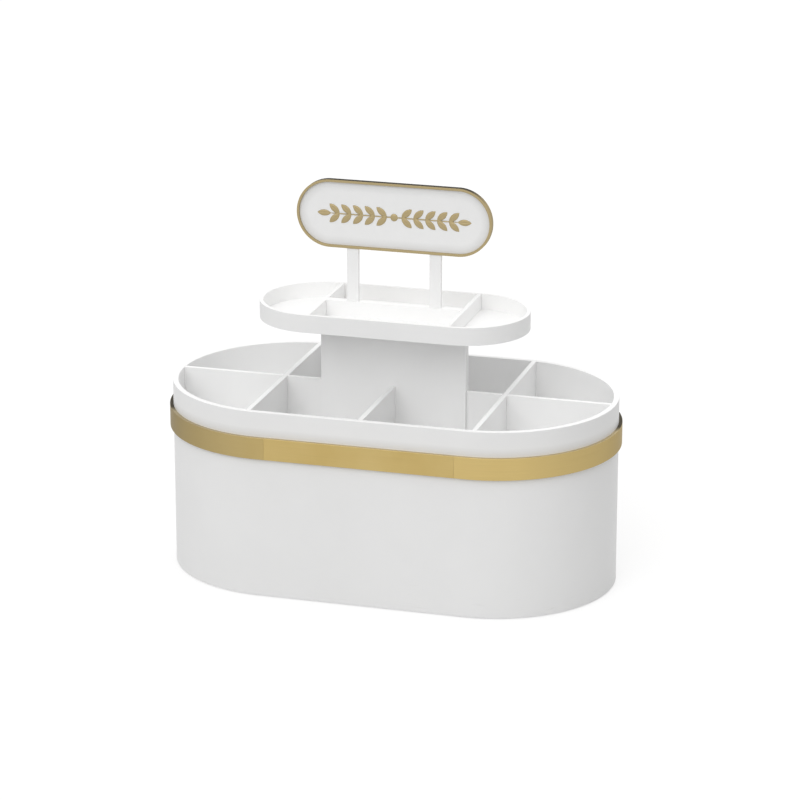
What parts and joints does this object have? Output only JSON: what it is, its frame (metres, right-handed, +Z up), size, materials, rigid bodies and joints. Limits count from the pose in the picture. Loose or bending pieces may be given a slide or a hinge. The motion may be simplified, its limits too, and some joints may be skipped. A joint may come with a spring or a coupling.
{
  "type": "produce display stand",
  "caption": "White racetrack-plan produce display island with open bins, a gold band, a raised tray on a central riser and a lift-off oval header sign on two posts.",
  "frame": {"origin": "on the floor, under the middle of the body", "axes": "+X along the length, to the right seen from the front, +Y to the rear, +Z up"},
  "size_m": [1.828, 0.998, 1.581],
  "materials": {
    "white_lacquer": "satin white lacquer on board",
    "plywood": "bare birch plywood",
    "gold_trim": "satin gold",
    "white_coat": "satin white powder coat",
    "frame_steel": "dark primer",
    "zinc_steel": "zinc plated",
    "black_nylon": "matt moulded"
  },
  "bodies": {
    "stand": {"arm_screws": "zinc_steel", "band_front": "gold_trim", "band_left": "gold_trim", "band_rear": "gold_trim", "band_right": "gold_trim", "base_board": "plywood", "bulkhead_left": "plywood", "bulkhead_right": "plywood", "deck_board": "white_lacquer", "deck_ledgers": "plywood", "end_shell_left": "white_lacquer", "end_shell_right": "white_lacquer", "foot_inserts": "zinc_steel", "front_panel": "white_lacquer", "plate_screws": "zinc_steel", "rear_panel": "white_lacquer", "riser_edge_left": "white_lacquer", "riser_edge_right": "white_lacquer", "riser_front_panel": "white_lacquer", "riser_head_rail": "frame_steel", "riser_rear_panel": "white_lacquer", "riser_upright_left": "frame_steel", "riser_upright_right": "frame_steel", "spine_left": "white_lacquer", "spine_right": "white_lacquer", "tray_arm_left": "frame_steel", "tray_arm_right": "frame_steel", "tray_floor": "white_lacquer", "tray_rim_front": "white_lacquer", "tray_rim_left": "white_lacquer", "tray_rim_rear": "white_lacquer", "tray_rim_right": "white_lacquer", "tray_spine": "white_lacquer"},
    "foot_front_left": {"foot_pad_front_left": "black_nylon", "foot_stem_front_left": "zinc_steel"},
    "foot_front_right": {"foot_pad_front_right": "black_nylon", "foot_stem_front_right": "zinc_steel"},
    "foot_rear_left": {"foot_pad_rear_left": "black_nylon", "foot_stem_rear_left": "zinc_steel"},
    "foot_rear_right": {"foot_pad_rear_right": "black_nylon", "foot_stem_rear_right": "zinc_steel"},
    "foot_left_end": {"foot_pad_left_end": "black_nylon", "foot_stem_left_end": "zinc_steel"},
    "foot_right_end": {"foot_pad_right_end": "black_nylon", "foot_stem_right_end": "zinc_steel"},
    "cross_partition_left_board": {"cross_partition_left": "white_lacquer"},
    "cross_partition_right_board": {"cross_partition_right": "white_lacquer"},
    "centre_partition_front_board": {"centre_partition_front": "white_lacquer"},
    "centre_partition_rear_board": {"centre_partition_rear": "white_lacquer"},
    "tray_divider_left_board": {"tray_divider_left": "white_lacquer"},
    "tray_divider_right_board": {"tray_divider_right": "white_lacquer"},
    "header_sign": {"sign_core": "plywood", "sign_frame": "gold_trim", "sign_ornament_front": "gold_trim", "sign_ornament_rear": "gold_trim", "sign_panel_front": "white_coat", "sign_panel_rear": "white_coat", "sign_post_left": "white_coat", "sign_post_right": "white_coat"}
  },
  "joints": [
    {"name": "level_front_left", "type": "slide", "parent": "stand", "child": "foot_front_left", "axis": [0, 0, 1], "range_m": [-0.015, 0]},
    {"name": "level_front_right", "type": "slide", "parent": "stand", "child": "foot_front_right", "axis": [0, 0, 1], "range_m": [-0.015, 0]},
    {"name": "level_rear_left", "type": "slide", "parent": "stand", "child": "foot_rear_left", "axis": [0, 0, 1], "range_m": [-0.015, 0]},
    {"name": "level_rear_right", "type": "slide", "parent": "stand", "child": "foot_rear_right", "axis": [0, 0, 1], "range_m": [-0.015, 0]},
    {"name": "level_left_end", "type": "slide", "parent": "stand", "child": "foot_left_end", "axis": [0, 0, 1], "range_m": [-0.015, 0]},
    {"name": "level_right_end", "type": "slide", "parent": "stand", "child": "foot_right_end", "axis": [0, 0, 1], "range_m": [-0.015, 0]},
    {"name": "lift_cross_partition_left", "type": "slide", "parent": "stand", "child": "cross_partition_left_board", "axis": [0, 0, 1], "range_m": [0, 0.18]},
    {"name": "lift_cross_partition_right", "type": "slide", "parent": "stand", "child": "cross_partition_right_board", "axis": [0, 0, 1], "range_m": [0, 0.18]},
    {"name": "lift_centre_partition_front", "type": "slide", "parent": "stand", "child": "centre_partition_front_board", "axis": [0, 0, 1], "range_m": [0, 0.18]},
    {"name": "lift_centre_partition_rear", "type": "slide", "parent": "stand", "child": "centre_partition_rear_board", "axis": [0, 0, 1], "range_m": [0, 0.18]},
    {"name": "lift_tray_divider_left", "type": "slide", "parent": "stand", "child": "tray_divider_left_board", "axis": [0, 0, 1], "range_m": [0, 0.07]},
    {"name": "lift_tray_divider_right", "type": "slide", "parent": "stand", "child": "tray_divider_right_board", "axis": [0, 0, 1], "range_m": [0, 0.07]},
    {"name": "lift_header_sign", "type": "slide", "parent": "stand", "child": "header_sign", "axis": [0, 0, 1], "range_m": [0, 0.11]}
  ]
}
